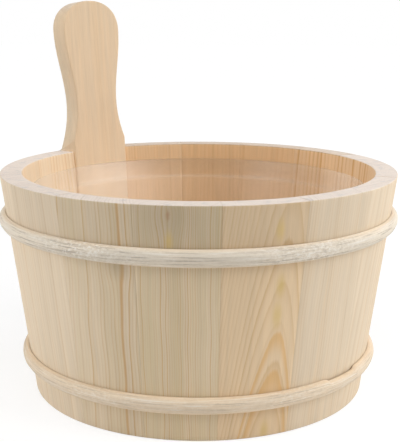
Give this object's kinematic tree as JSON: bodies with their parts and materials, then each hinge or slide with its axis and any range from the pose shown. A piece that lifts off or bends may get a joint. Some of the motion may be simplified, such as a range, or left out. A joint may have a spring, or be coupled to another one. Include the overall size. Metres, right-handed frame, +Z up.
{
  "type": "sauna bucket",
  "caption": "Coopered wooden sauna bucket: staves held by bent half-round wooden hoops, one stave raised into a paddle handle, and a translucent plastic liner that lifts out.",
  "frame": {"origin": "centre of the ring of stave ends that the bucket stands on, in the plane of the floor", "axes": "+Z up along the bucket's axis; -Y towards the viewer of the picture; the handle stave is at the back left, between -X and +Y"},
  "size_m": [0.2626, 0.2626, 0.253],
  "materials": {
    "pine": "bare turned pine",
    "handle_pine": "bare sanded pine",
    "hoop_wood": "bare bent strip, pale and slightly rough",
    "board_pine": "bare planed pine",
    "liner_plastic": "translucent, half gloss"
  },
  "bodies": {
    "bucket": {"stave_01": "pine", "stave_02": "pine", "stave_03": "pine", "stave_04": "pine", "stave_05": "pine", "stave_06": "pine", "stave_07": "pine", "stave_08": "pine", "stave_09": "pine", "stave_10": "pine", "stave_11": "pine", "stave_12": "pine", "stave_13": "pine", "stave_14": "pine", "stave_15": "pine", "handle_stave": "handle_pine", "upper_hoop": "hoop_wood", "lower_hoop": "hoop_wood", "bottom_board_1": "board_pine", "bottom_board_2": "board_pine", "bottom_board_3": "board_pine"},
    "liner_body": {"liner": "liner_plastic"}
  },
  "joints": [
    {"name": "liner_lift", "type": "slide", "parent": "bucket", "child": "liner_body", "axis": [0, 0, 1], "range_m": [0, 0.13]}
  ]
}
